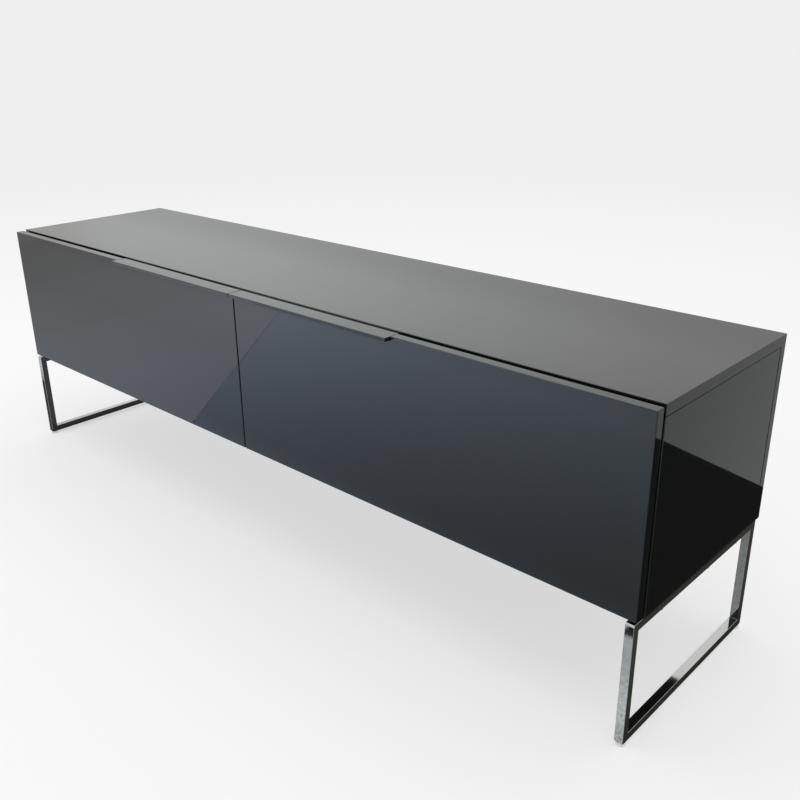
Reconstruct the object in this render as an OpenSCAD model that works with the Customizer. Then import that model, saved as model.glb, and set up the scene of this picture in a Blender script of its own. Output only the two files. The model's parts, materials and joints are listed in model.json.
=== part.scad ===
// Low chest with two wide drawers on a pair of closed square-tube legs.
// Millimetres, +Z up, the front towards -Y.
// The origin is on the floor, under the centre of the overall plan, handles included.

/* [Cabinet] */
// Overall width of the cabinet
cabinet_width = 1800; // [1400:10:2200]
// Depth of the cabinet box behind the drawer fronts
cabinet_depth = 403; // [396:0.5:480]
// Height of the cabinet box, top panel included
cabinet_height = 339; // [330:1:420]
// Thickness of the top panel
top_thickness = 19; // [16:0.5:25]
// Thickness of the sides, bottom, back and centre divider
board_thickness = 18; // [16:0.5:19]
// Width of the shadow joint between a side panel and the top
top_joint = 0.5; // [0.3:0.1:2]
// Width of the shadow joint between a side panel and the back
rear_joint = 2.5; // [0.5:0.5:4]

/* [Drawer fronts] */
// Thickness of a drawer front
front_thickness = 19; // [18:0.5:22]
// Step from the top face down to the upper edge of a front
front_drop = 2.5; // [1:0.5:4]
// Height of a front's lower edge above the cabinet's lower edge
front_rise = 5.5; // [2:0.5:10]
// Gap between the two fronts
front_split = 3; // [2:0.5:4]
// Shadow gap between a closed front and the cabinet
front_gap = 6; // [5:0.5:10]

/* [Handles] */
// Gap between the two handles
handle_split = 2; // [0.5:0.5:3]
// Length of each lip handle
handle_length = 418; // [250:1:500]
// Thickness of the lip
lip_thickness = 7; // [5:0.5:9]
// How far the lip stands out in front of the drawer front
lip_overhang = 13; // [12:1:25]
// Thickness of the flange behind the drawer front
flange_thickness = 5.5; // [2:0.5:5.5]
// Height of the handle's rear flange, lip included
flange_height = 25; // [20:1:35]

/* [Drawer boxes] */
// Height of a drawer box
box_height = 230; // [180:5:240]
// Thickness of the drawer box boards
box_thickness = 15; // [15:0.5:16]
// Thickness of the drawer bottom
bottom_thickness = 8; // [6:0.5:10]
// Room under a drawer box
box_clearance = 14; // [8:1:20]

/* [Runners] */
// Closed length of a runner, and the travel of its drawer
runner_length = 350; // [300:10:370]
// Width of a runner between the cabinet and the drawer box
runner_width = 12.7; // [12.7:0.1:13]
// Height of the runner's cabinet member
runner_height = 45; // [40:1:46]
// Height of the runners' centre line above the drawer box's lower edge
runner_rise = 87; // [60:1:110]

/* [Legs] */
// Width of the square tube
tube_width = 15; // [12:1:20]
// Wall of the square tube
tube_wall = 1.5; // [1:0.1:2]
// Height of a leg frame
frame_height = 219; // [150:1:300]
// Inset of a leg frame from the cabinet's side
frame_inset = 2; // [0:0.5:3]
// Inset of a leg frame from the cabinet's back
frame_rear_inset = 8; // [0:1:30]
// Height of a floor glide
glide_height = 6; // [2:0.5:8]

/* [Hidden] */
$fn = 48;

// Overlap that keeps a cut from sharing a face with what it cuts
cut = 1;

// Front to back
overall_depth = lip_overhang + front_thickness + front_gap + cabinet_depth;
lip_y = -overall_depth / 2;
front_y = lip_y + lip_overhang;
front_back_y = front_y + front_thickness;
cabinet_y = front_back_y + front_gap;
back_y = overall_depth / 2;
inside_depth = cabinet_depth - board_thickness;
back_panel_y = cabinet_y + inside_depth;
joint_depth = 3;

// Floor to top
cabinet_z = glide_height + frame_height;
inside_z = cabinet_z + board_thickness;
slab_z = cabinet_z + cabinet_height - top_thickness;
front_z = cabinet_z + front_rise;
front_top_z = cabinet_z + cabinet_height - front_drop;
side_height = cabinet_height - top_thickness;

// Centre to side
side_x = cabinet_width / 2;
bay_x = board_thickness / 2;
bay_width = side_x - board_thickness - bay_x;
bay_end_x = bay_x + bay_width;

// Drawer box, which starts against the back of its front
box_x = bay_x + runner_width;
box_end_x = bay_end_x - runner_width;
box_width = box_end_x - box_x;
box_z = inside_z + box_clearance;
runner_setback = 2;
box_depth = front_gap + runner_setback + runner_length;
groove_depth = 5;
groove_z = box_z + 12;
back_board_z = groove_z + bottom_thickness;

// Corner joints: dowels and cam fittings along each joint, measured from the cabinet's front edge
dowel_d = 8;
dowel_in_face = 10;
dowel_in_edge = 20;
dowel_places = [40, 195, 350];
cam_places = [90, 300];
cam_d = 15;
cam_h = 12.5;
cam_pocket = 13;
cam_setback = 24;
bolt_d = 6;
bolt_thread_d = 5;
bolt_thread_length = 11;
bolt_hole_d = 8;

// Each joint's edge plane as X and Z, and the turn that points its bolts into the face board
corner_joints = [
    [-side_x + board_thickness / 2, slab_z, [0, 0, 0]],
    [side_x - board_thickness / 2, slab_z, [0, 0, 180]],
    [0, slab_z, [0, 0, 0]],
    [0, inside_z, [180, 0, 0]],
    [-bay_end_x, cabinet_z + board_thickness / 2, [0, 90, 180]],
    [bay_end_x, cabinet_z + board_thickness / 2, [0, 90, 0]],
];

// Screws: shank, length, head diameter and head height
back_screw = [4, 40, 8, 3];
frame_screw = [6, 50, 12, 3.5];
rail_screw = [4, 8, 6.5, 1];
front_screw = [4, 26, 8, 2.5];
handle_screw = [3.5, 11, 6.5, 2];
frame_screw_places = [65, 220, 325];
runner_screw_places = [30, 177, 320];
handle_screw_places = [30, 149, 268, 387];
front_screw_columns = [80, box_width / 2, box_width - 80];
front_screw_heights = [50, box_height - 40];
box_dowel_heights = [40, 115, 190];

// Runner members: web offset from the cabinet wall, reach of the flanges, and height
steel = 1.2;
cabinet_member = [0, 9.5, runner_height];
middle_member = [2.6, 11, runner_height - 10];
drawer_member = [runner_width, 5, runner_height - 20];
runner_y = cabinet_y + runner_setback;
runner_z = box_z + runner_rise;

// Leg frame
frame_x = side_x - frame_inset - tube_width;
frame_y = front_y;
frame_depth = back_y - frame_rear_inset - frame_y;
glide_d = 16;
glide_inset = 8;

// Buffers on the back of each front
buffer_d = 6;
buffer_length = front_gap - 0.5;

lacquer = "#3b3f43";
board = "#8d8f90";
chrome = "#c8ccce";
steel_grey = "#a9adaf";
beech = "#c9a678";
clear_rubber = "#dcdcd6";

// ---- General helpers ----

// A block between two corners
module block(low, high) {
    translate(low)
        cube(high - low);
}

// Right-hand parts as drawn, left-hand parts as their mirror image
module on_side(left) {
    mirror([left ? 1 : 0, 0, 0])
        children();
}

// A screw along +Z, with its head below the origin; a sunk head tapers into the board instead
module screw(size, sunk = false) {
    cylinder(h = size[1], d = size[0]);
    if (sunk)
        cylinder(h = size[3], d1 = size[2], d2 = size[0]);
    else
        translate([0, 0, -size[3]])
            cylinder(h = size[3], d = size[2]);
}

// The hole that a screw needs in a board
module screw_hole(size, sunk = false) {
    translate([0, 0, -cut])
        cylinder(h = size[1] + cut, d = size[0]);
    if (sunk)
        cylinder(h = size[3], d1 = size[2], d2 = size[0]);
}

// ---- Corner joints of the cabinet ----

// Puts its children at each joint, at each of the given distances from the front edge
module at_joints(places) {
    for (joint = corner_joints)
        for (place = places)
            translate([joint[0], cabinet_y + place, joint[1]])
                rotate(joint[2])
                    children();
}

module dowel() {
    translate([0, 0, -dowel_in_edge])
        cylinder(h = dowel_in_edge + dowel_in_face, d = dowel_d);
}

module cam_bolt() {
    cylinder(h = bolt_thread_length, d = bolt_thread_d);
    translate([0, 0, -cam_setback])
        cylinder(h = cam_setback, d = bolt_d);
}

// The disc lies across its board, open towards the bolt, with a driver slot on its face
module cam_disc() {
    face = board_thickness / 2;
    difference() {
        translate([face - cam_h, 0, -cam_setback])
            rotate([0, 90, 0])
                cylinder(h = cam_h, d = cam_d);
        translate([0, 0, -cam_setback - bolt_hole_d / 2])
            cylinder(h = cam_d, d = bolt_hole_d);
        block([face - 2, -5, -cam_setback - 0.8], [face + cut, 5, -cam_setback + 0.8]);
    }
}

// Everything that is bored into the boards for the joints
module joint_bores() {
    at_joints(dowel_places)
        dowel();
    at_joints(cam_places) {
        cylinder(h = bolt_thread_length, d = bolt_thread_d);
        translate([0, 0, -cam_setback])
            cylinder(h = cam_setback, d = bolt_hole_d);
        translate([board_thickness / 2 - cam_pocket, 0, -cam_setback])
            rotate([0, 90, 0])
                cylinder(h = cam_pocket + cut, d = cam_d);
    }
}

module carcass_dowels() {
    color(beech)
        at_joints(dowel_places)
            dowel();
}

module cam_bolts() {
    color(steel_grey)
        at_joints(cam_places)
            cam_bolt();
}

module cam_discs() {
    color(steel_grey)
        at_joints(cam_places)
            cam_disc();
}

// ---- Screws of the cabinet ----

// Screws through the back panel into the sides, the bottom and the divider
module at_back_screws() {
    middle = board_thickness / 2;
    for (x = [-side_x + middle, side_x - middle], z = [40, side_height / 2, side_height - 40])
        translate([x, back_y, cabinet_z + z])
            rotate([90, 0, 0])
                children();
    for (share = [-0.75, -0.375, 0.375, 0.75])
        translate([share * side_x, back_y, cabinet_z + middle])
            rotate([90, 0, 0])
                children();
    for (z = [90, side_height - 70])
        translate([0, back_y, cabinet_z + z])
            rotate([90, 0, 0])
                children();
}

module back_screws() {
    color(steel_grey)
        at_back_screws()
            screw(back_screw, sunk = true);
}

// Screws up through the top rails of the leg frames into the sides' lower edges
module at_frame_screws() {
    for (side = [-1, 1], place = frame_screw_places)
        translate([side * (frame_x + tube_width / 2), cabinet_y + place, cabinet_z - tube_width])
            children();
}

module frame_screws() {
    color(steel_grey)
        at_frame_screws()
            screw(frame_screw);
}

// Screws from each runner's cabinet member into the sides and the divider
module at_rail_screws() {
    for (left = [true, false], wall = [0, 1], place = runner_screw_places)
        on_side(left)
            translate([wall ? bay_end_x : bay_x, runner_y + place, runner_z])
                mirror([wall, 0, 0])
                    translate([steel, 0, 0])
                        rotate([0, -90, 0])
                            children();
}

module rail_screws() {
    color(steel_grey)
        at_rail_screws()
            screw(rail_screw);
}

// ---- Cabinet ----

module top_panel() {
    color(lacquer)
        difference() {
            block([-side_x, cabinet_y, slab_z], [side_x, back_y, slab_z + top_thickness]);
            joint_bores();
        }
}

module side_panel(left) {
    color(lacquer)
        difference() {
            on_side(left)
                difference() {
                    block([bay_end_x, cabinet_y, cabinet_z], [side_x, back_panel_y, slab_z]);
                    block(
                        [side_x - joint_depth, cabinet_y - cut, slab_z - top_joint],
                        [side_x + cut, back_panel_y + cut, slab_z + cut]
                    );
                    block(
                        [side_x - joint_depth, back_panel_y - rear_joint, cabinet_z - cut],
                        [side_x + cut, back_panel_y + cut, slab_z + cut]
                    );
                }
            joint_bores();
            at_back_screws()
                screw_hole(back_screw);
            at_frame_screws()
                screw_hole(frame_screw);
            at_rail_screws()
                screw_hole(rail_screw);
        }
}

module bottom_panel() {
    color(lacquer)
        difference() {
            block([-bay_end_x, cabinet_y, cabinet_z], [bay_end_x, back_panel_y, inside_z]);
            joint_bores();
            at_back_screws()
                screw_hole(back_screw);
        }
}

module centre_divider() {
    color(board)
        difference() {
            block([-bay_x, cabinet_y, inside_z], [bay_x, back_panel_y, slab_z]);
            joint_bores();
            at_back_screws()
                screw_hole(back_screw);
            at_rail_screws()
                screw_hole(rail_screw);
        }
}

module back_panel() {
    color(lacquer)
        difference() {
            block([-side_x, back_y - board_thickness, cabinet_z], [side_x, back_y, slab_z]);
            at_back_screws()
                screw_hole(back_screw, sunk = true);
        }
}

// ---- Leg frames ----

// A square tube with mitred ends along +Y, its long face down at the origin
module mitred_tube(length) {
    rotate([90, 0, 90])
        difference() {
            linear_extrude(tube_width)
                polygon([[0, 0], [length, 0], [length - tube_width, tube_width], [tube_width, tube_width]]);
            translate([0, 0, tube_wall])
                linear_extrude(tube_width - 2 * tube_wall)
                    translate([-cut, tube_wall])
                        square([length + 2 * cut, tube_width - 2 * tube_wall]);
        }
}

module floor_rail(left) {
    color(chrome)
        on_side(left)
            translate([frame_x, frame_y, glide_height])
                mitred_tube(frame_depth);
}

module top_rail(left) {
    color(chrome)
        difference() {
            on_side(left)
                translate([frame_x, frame_y, cabinet_z])
                    mirror([0, 0, 1])
                        mitred_tube(frame_depth);
            at_frame_screws()
                screw_hole(frame_screw);
        }
}

module front_post(left) {
    color(chrome)
        on_side(left)
            translate([frame_x, frame_y, cabinet_z])
                rotate([-90, 0, 0])
                    mitred_tube(frame_height);
}

module rear_post(left) {
    color(chrome)
        on_side(left)
            translate([frame_x, frame_y + frame_depth, glide_height])
                rotate([90, 0, 0])
                    mitred_tube(frame_height);
}

module floor_glides() {
    color(clear_rubber)
        for (side = [-1, 1], y = [frame_y + glide_inset, frame_y + frame_depth - glide_inset])
            translate([side * (frame_x + tube_width / 2), y, 0])
                cylinder(h = glide_height, d = glide_d);
}

// ---- Runners ----

// A folded steel channel along Y: its web, the reach of its flanges, and its height
module channel(member) {
    web = member[0];
    reach = member[1];
    half = member[2] / 2;
    inner = web + sign(reach - web) * steel;
    translate([0, runner_y + runner_length, runner_z])
        rotate([90, 0, 0])
            linear_extrude(runner_length)
                polygon([
                    [web, -half], [reach, -half], [reach, steel - half], [inner, steel - half],
                    [inner, half - steel], [reach, half - steel], [reach, half], [web, half],
                ]);
}

// One member on the divider's side (inner) or the cabinet's side (outer) of a bay
module runner_member(left, outer, member) {
    color(steel_grey)
        on_side(left)
            translate([outer ? bay_end_x : bay_x, 0, 0])
                mirror([outer ? 1 : 0, 0, 0])
                    channel(member);
}

module cabinet_rail(left, outer) {
    difference() {
        runner_member(left, outer, cabinet_member);
        at_rail_screws()
            screw_hole(rail_screw);
    }
}

module drawer_slide(left, outer) {
    difference() {
        runner_member(left, outer, drawer_member);
        at_slide_screws(left)
            screw_hole(rail_screw);
    }
}

// Screws from each runner's drawer member into the drawer box
module at_slide_screws(left) {
    for (wall = [0, 1], place = runner_screw_places)
        on_side(left)
            translate([wall ? box_end_x : box_x, runner_y + place, runner_z])
                mirror([wall, 0, 0])
                    translate([-steel, 0, 0])
                        rotate([0, 90, 0])
                            children();
}

module slide_screws(left) {
    color(steel_grey)
        at_slide_screws(left)
            screw(rail_screw);
}

// ---- Drawers ----

// Screws through the box front into the back of the lacquered front
module at_front_screws(left) {
    for (x = front_screw_columns, z = front_screw_heights)
        on_side(left)
            translate([box_x + x, front_back_y + box_thickness, box_z + z])
                rotate([90, 0, 0])
                    children();
}

// Screws through the handle's flange into the back of the lacquered front
module at_handle_screws(left) {
    for (x = handle_screw_places)
        on_side(left)
            translate([
                front_split / 2 + x,
                front_back_y + flange_thickness,
                front_top_z - (flange_height + lip_thickness) / 2,
            ])
                rotate([90, 0, 0])
                    children();
}

module drawer_front(left) {
    start = front_split / 2;
    handle_start = handle_split / 2;
    color(lacquer)
        difference() {
            on_side(left)
                difference() {
                    block([start, front_y, front_z], [side_x, front_back_y, front_top_z]);
                    block(
                        [start - cut, front_y - cut, front_top_z - lip_thickness],
                        [handle_start + handle_length, front_back_y + cut, front_top_z + cut]
                    );
                }
            at_front_screws(left)
                screw_hole(front_screw);
            at_handle_screws(left)
                screw_hole(handle_screw);
        }
}

// The lip lies over the front's upper edge, and its flange turns down behind the front
module drawer_handle(left) {
    lip_z = front_top_z - lip_thickness;
    flange_y = front_back_y + flange_thickness;
    color(lacquer)
        difference() {
            on_side(left)
                translate([handle_split / 2, 0, 0])
                    rotate([90, 0, 90])
                        linear_extrude(handle_length)
                            polygon([
                                [lip_y, lip_z + 1], [lip_y + 1, lip_z], [front_back_y, lip_z],
                                [front_back_y, front_top_z - flange_height],
                                [flange_y, front_top_z - flange_height],
                                [flange_y, front_top_z - 1], [flange_y - 1, front_top_z],
                                [lip_y + 1, front_top_z], [lip_y, front_top_z - 1],
                            ]);
            at_handle_screws(left)
                screw_hole(handle_screw, sunk = true);
        }
}

module handle_screws(left) {
    color(steel_grey)
        at_handle_screws(left)
            screw(handle_screw, sunk = true);
}

// Places its children along X at both ends of the box's front and back boards
module at_box_dowels(left) {
    board_middles = [box_thickness / 2, box_depth - box_thickness / 2];
    for (wall = [0, 1], y = board_middles, z = box_dowel_heights)
        on_side(left)
            translate([wall ? box_end_x - box_thickness : box_x + box_thickness, front_back_y + y, box_z + z])
                mirror([wall, 0, 0])
                    rotate([0, -90, 0])
                        children();
}

module box_dowels(left) {
    color(beech)
        at_box_dowels(left)
            dowel();
}

// The drawer bottom, which also cuts the grooves that hold it
module bottom_board(extra = 0) {
    block(
        [box_x + box_thickness - groove_depth, front_back_y + box_thickness - groove_depth, groove_z],
        [box_end_x - box_thickness + groove_depth, front_back_y + box_depth + extra, back_board_z]
    );
}

module box_bottom(left) {
    color(board)
        on_side(left)
            bottom_board();
}

module box_side(left, outer) {
    start = outer ? box_end_x - box_thickness : box_x;
    color(board)
        difference() {
            on_side(left)
                difference() {
                    block(
                        [start, front_back_y, box_z],
                        [start + box_thickness, front_back_y + box_depth, box_z + box_height]
                    );
                    bottom_board(extra = cut);
                }
            at_box_dowels(left)
                dowel();
            at_slide_screws(left)
                screw_hole(rail_screw);
        }
}

module box_front(left) {
    color(board)
        difference() {
            on_side(left)
                difference() {
                    block(
                        [box_x + box_thickness, front_back_y, box_z],
                        [box_end_x - box_thickness, front_back_y + box_thickness, box_z + box_height]
                    );
                    bottom_board();
                }
            at_box_dowels(left)
                dowel();
            at_front_screws(left)
                screw_hole(front_screw);
        }
}

module box_back(left) {
    far = front_back_y + box_depth;
    color(board)
        difference() {
            on_side(left)
                block(
                    [box_x + box_thickness, far - box_thickness, back_board_z],
                    [box_end_x - box_thickness, far, box_z + box_height]
                );
            at_box_dowels(left)
                dowel();
        }
}

module front_screws(left) {
    color(steel_grey)
        at_front_screws(left)
            screw(front_screw);
}

// Buffers that meet the front edges of the side panel and of the divider
module buffers(left) {
    inner_x = (front_split / 2 + bay_x) / 2;
    color(clear_rubber)
        for (x = [inner_x, side_x - board_thickness / 2], z = [40, side_height - 40])
            on_side(left)
                translate([x, front_back_y + buffer_length, cabinet_z + z])
                    rotate([90, 0, 0])
                        cylinder(h = buffer_length, d = buffer_d);
}

// ---- Nodes ----

top_panel();
side_panel(true);  // left_side_panel
side_panel(false);  // right_side_panel
bottom_panel();
centre_divider();
back_panel();
carcass_dowels();
cam_bolts();
cam_discs();
back_screws();
front_post(true);  // left_frame_front_post
rear_post(true);  // left_frame_rear_post
floor_rail(true);  // left_frame_floor_rail
top_rail(true);  // left_frame_top_rail
front_post(false);  // right_frame_front_post
rear_post(false);  // right_frame_rear_post
floor_rail(false);  // right_frame_floor_rail
top_rail(false);  // right_frame_top_rail
frame_screws();
floor_glides();
cabinet_rail(true, true);  // left_bay_outer_rail
cabinet_rail(true, false);  // left_bay_inner_rail
cabinet_rail(false, true);  // right_bay_outer_rail
cabinet_rail(false, false);  // right_bay_inner_rail
rail_screws();
runner_member(true, true, middle_member);  // left_outer_middle_slide
runner_member(true, false, middle_member);  // left_inner_middle_slide
runner_member(false, true, middle_member);  // right_outer_middle_slide
runner_member(false, false, middle_member);  // right_inner_middle_slide
drawer_front(true);  // left_drawer_front
drawer_handle(true);  // left_drawer_handle
handle_screws(true);  // left_handle_screws
box_front(true);  // left_box_front
box_back(true);  // left_box_back
box_side(true, true);  // left_box_outer_side
box_side(true, false);  // left_box_inner_side
box_bottom(true);  // left_box_bottom
box_dowels(true);  // left_box_dowels
front_screws(true);  // left_front_screws
drawer_slide(true, true);  // left_outer_drawer_slide
drawer_slide(true, false);  // left_inner_drawer_slide
slide_screws(true);  // left_slide_screws
buffers(true);  // left_buffers
drawer_front(false);  // right_drawer_front
drawer_handle(false);  // right_drawer_handle
handle_screws(false);  // right_handle_screws
box_front(false);  // right_box_front
box_back(false);  // right_box_back
box_side(false, true);  // right_box_outer_side
box_side(false, false);  // right_box_inner_side
box_bottom(false);  // right_box_bottom
box_dowels(false);  // right_box_dowels
front_screws(false);  // right_front_screws
drawer_slide(false, true);  // right_outer_drawer_slide
drawer_slide(false, false);  // right_inner_drawer_slide
slide_screws(false);  // right_slide_screws
buffers(false);  // right_buffers
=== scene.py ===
"""Looks of a low two-drawer dresser: gloss lacquered boards on a pair of chromed square-tube legs.

Everything is in metres, in the row's frame: +X to the right, +Y to the back, +Z up from the floor.
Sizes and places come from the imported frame's boxes. The classes build one sub-assembly each, and
main() builds them in order.
"""

import json
import logging
import math
from dataclasses import dataclass, field
from enum import Enum

import bmesh
import bpy
import numpy as np
from mathutils import Matrix, Vector


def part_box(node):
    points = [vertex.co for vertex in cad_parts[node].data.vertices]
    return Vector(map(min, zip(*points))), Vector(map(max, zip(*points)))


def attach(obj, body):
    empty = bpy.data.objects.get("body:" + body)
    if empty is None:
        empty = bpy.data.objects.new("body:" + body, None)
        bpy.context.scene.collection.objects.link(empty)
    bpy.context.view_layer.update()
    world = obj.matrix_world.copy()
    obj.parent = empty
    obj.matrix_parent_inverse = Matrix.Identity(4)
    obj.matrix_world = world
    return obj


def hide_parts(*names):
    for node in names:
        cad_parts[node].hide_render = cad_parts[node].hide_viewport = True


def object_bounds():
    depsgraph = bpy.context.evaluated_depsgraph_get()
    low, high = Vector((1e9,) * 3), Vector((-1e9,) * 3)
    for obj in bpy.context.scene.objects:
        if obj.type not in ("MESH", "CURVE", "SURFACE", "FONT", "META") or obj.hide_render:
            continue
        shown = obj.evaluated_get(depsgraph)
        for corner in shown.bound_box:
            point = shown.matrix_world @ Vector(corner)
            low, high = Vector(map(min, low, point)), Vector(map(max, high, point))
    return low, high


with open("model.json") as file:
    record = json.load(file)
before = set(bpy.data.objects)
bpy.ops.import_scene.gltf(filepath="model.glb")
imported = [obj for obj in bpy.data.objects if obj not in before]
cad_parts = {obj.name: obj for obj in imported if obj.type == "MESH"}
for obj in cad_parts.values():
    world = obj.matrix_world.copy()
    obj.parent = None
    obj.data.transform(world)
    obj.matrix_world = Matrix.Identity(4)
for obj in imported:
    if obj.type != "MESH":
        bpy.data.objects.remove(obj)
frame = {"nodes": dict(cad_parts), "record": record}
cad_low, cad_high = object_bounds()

LOG = logging.getLogger("dresser")
MM = 0.001
FULL_TURN = 2 * math.pi
Array = np.ndarray
Colour = tuple[float, float, float, float]
Place = tuple[float, float, float]


class Axis(Enum):
    """The row's axes."""

    X = 0
    Y = 1
    Z = 2


class Side(Enum):
    """The two halves of the dresser, seen from the front."""

    LEFT = "left"
    RIGHT = "right"


# ---- Colours and shader nodes ----


def linear(hex_colour: str) -> Colour:
    """Turns an sRGB hex colour into linear light.

    Args:
        hex_colour: a colour such as "#3b3f43".

    Returns:
        Red, green and blue in linear light, and an alpha of one.
    """
    srgb = np.array([int(hex_colour[i : i + 2], 16) for i in (1, 3, 5)]) / 255
    light = np.where(srgb <= 0.04045, srgb / 12.92, ((srgb + 0.055) / 1.055) ** 2.4)
    return (*(float(part) for part in light), 1.0)


def add_node(tree: bpy.types.NodeTree, kind: str, inputs: dict | None = None, **settings) -> bpy.types.Node:
    """Adds a node with its settings, values and links.

    Args:
        tree: the node tree that gets the node.
        kind: the node's type name.
        inputs: input name or number to a value, or to the output socket that feeds it.
        settings: the node's own attributes.

    Returns:
        The new node.
    """
    node = tree.nodes.new(kind)
    for name, value in settings.items():
        setattr(node, name, value)
    for name, value in (inputs or {}).items():
        if isinstance(value, bpy.types.NodeSocket):
            tree.links.new(value, node.inputs[name])
        else:
            node.inputs[name].default_value = value
    return node


def new_material(name: str) -> tuple[bpy.types.Material, bpy.types.NodeTree]:
    """Makes an empty node material and returns it with its tree."""
    material = bpy.data.materials.new(name)
    material.use_nodes = True
    material.node_tree.nodes.clear()
    return material, material.node_tree


def finish_surface(tree: bpy.types.NodeTree, shader: bpy.types.Node) -> None:
    """Links a shader to the material's output."""
    add_node(tree, "ShaderNodeOutputMaterial", {"Surface": shader.outputs[0]})


def ramp_colours(node: bpy.types.Node, stops: list[tuple[float, Colour]]) -> None:
    """Sets a colour ramp's stops.

    Args:
        node: the ramp.
        stops: place and colour of each stop, from low to high.
    """
    elements = node.color_ramp.elements
    while len(elements) < len(stops):
        elements.new(0.5)
    for element, (place, colour) in zip(elements, stops):
        element.position = place
        element.color = colour


# ---- Finishes ----


@dataclass(frozen=True)
class GlossLacquer:
    """High-gloss polyester lacquer, sprayed on board or metal, sanded and buffed.

    To the eye it is a deep, nearly black grey under a mirror-like skin. The skin has a faint orange
    peel from spraying, and the buffing leaves patches that are a little less sharp.
    """

    name: str
    pigment: str = "#141516"
    pigment_shade: str = "#111213"
    gloss: tuple[float, float] = (0.018, 0.05)
    peel_size: float = 5 * MM
    peel_height: float = 0.0012 * MM
    patch_size: float = 90 * MM

    def build(self) -> bpy.types.Material:
        """Returns the material."""
        material, tree = new_material(self.name)
        place = add_node(tree, "ShaderNodeTexCoord").outputs["Object"]
        patches = add_node(
            tree,
            "ShaderNodeTexNoise",
            {"Vector": place, "Scale": 1 / self.patch_size, "Detail": 4.0, "Roughness": 0.6},
        )
        pigment = add_node(
            tree,
            "ShaderNodeMix",
            {
                0: patches.outputs[0],
                6: linear(self.pigment_shade),
                7: linear(self.pigment),
            },
            data_type="RGBA",
        )
        gloss = add_node(
            tree,
            "ShaderNodeMapRange",
            {"Value": patches.outputs[0], "From Min": 0.35, "From Max": 0.7, "To Min": self.gloss[0],
             "To Max": self.gloss[1]},
        )
        peel = add_node(
            tree,
            "ShaderNodeTexNoise",
            {"Vector": place, "Scale": 1 / self.peel_size, "Detail": 1.0, "Roughness": 0.4},
        )
        bump = add_node(
            tree,
            "ShaderNodeBump",
            {"Height": peel.outputs[0], "Strength": 1.0, "Distance": self.peel_height},
        )
        shader = add_node(
            tree,
            "ShaderNodeBsdfPrincipled",
            {
                "Base Color": pigment.outputs[2],
                "Roughness": gloss.outputs[0],
                "Normal": bump.outputs[0],
                "IOR": 1.5,
            },
        )
        finish_surface(tree, shader)
        return material


@dataclass(frozen=True)
class ChromePlate:
    """Bright chrome on polished square steel tube.

    To the eye it is a cool mirror. Polishing before plating leaves fine lines along and across the
    tube and a slight mottle, so what it mirrors looks broken up close to.
    """

    name: str
    plate: str = "#c9cbca"
    plate_shade: str = "#b3b5b4"
    gloss: tuple[float, float] = (0.03, 0.09)
    mottle_size: float = 3 * MM
    mottle_height: float = 0.012 * MM

    def build(self) -> bpy.types.Material:
        """Returns the material."""
        material, tree = new_material(self.name)
        place = add_node(tree, "ShaderNodeTexCoord").outputs["Object"]
        mottle = add_node(
            tree,
            "ShaderNodeTexNoise",
            {"Vector": place, "Scale": 1 / self.mottle_size, "Detail": 3.0, "Roughness": 0.55},
        )
        plate = add_node(
            tree,
            "ShaderNodeMix",
            {
                0: mottle.outputs[0],
                6: linear(self.plate_shade),
                7: linear(self.plate),
            },
            data_type="RGBA",
        )
        gloss = add_node(
            tree,
            "ShaderNodeMapRange",
            {"Value": mottle.outputs[0], "From Min": 0.3, "From Max": 0.7, "To Min": self.gloss[0],
             "To Max": self.gloss[1]},
        )
        bump = add_node(
            tree,
            "ShaderNodeBump",
            {"Height": mottle.outputs[0], "Strength": 1.0, "Distance": self.mottle_height},
        )
        shader = add_node(
            tree,
            "ShaderNodeBsdfPrincipled",
            {
                "Base Color": plate.outputs[2],
                "Metallic": 1.0,
                "Roughness": gloss.outputs[0],
                "Normal": bump.outputs[0],
            },
        )
        finish_surface(tree, shader)
        return material


@dataclass(frozen=True)
class MelamineBoard:
    """Chipboard faced and edged with matt grey melamine, pressed against a finely grained plate.

    To the eye it is an even mid grey with a dull sheen and a fine pearl texture.
    """

    name: str
    face: str = "#7f8182"
    face_shade: str = "#76787a"
    roughness: float = 0.42
    pearl_size: float = 0.9 * MM
    pearl_height: float = 0.03 * MM

    def build(self) -> bpy.types.Material:
        """Returns the material."""
        material, tree = new_material(self.name)
        place = add_node(tree, "ShaderNodeTexCoord").outputs["Object"]
        cloud = add_node(
            tree,
            "ShaderNodeTexNoise",
            {"Vector": place, "Scale": 30.0, "Detail": 6.0, "Roughness": 0.65},
        )
        face = add_node(
            tree,
            "ShaderNodeMix",
            {0: cloud.outputs[0], 6: linear(self.face_shade), 7: linear(self.face)},
            data_type="RGBA",
        )
        pearl = add_node(
            tree,
            "ShaderNodeTexVoronoi",
            {"Vector": place, "Scale": 1 / self.pearl_size},
            feature="SMOOTH_F1",
        )
        bump = add_node(
            tree,
            "ShaderNodeBump",
            {"Height": pearl.outputs["Distance"], "Strength": 0.5, "Distance": self.pearl_height},
        )
        shader = add_node(
            tree,
            "ShaderNodeBsdfPrincipled",
            {
                "Base Color": face.outputs[2],
                "Roughness": self.roughness,
                "Normal": bump.outputs[0],
            },
        )
        finish_surface(tree, shader)
        return material


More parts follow.
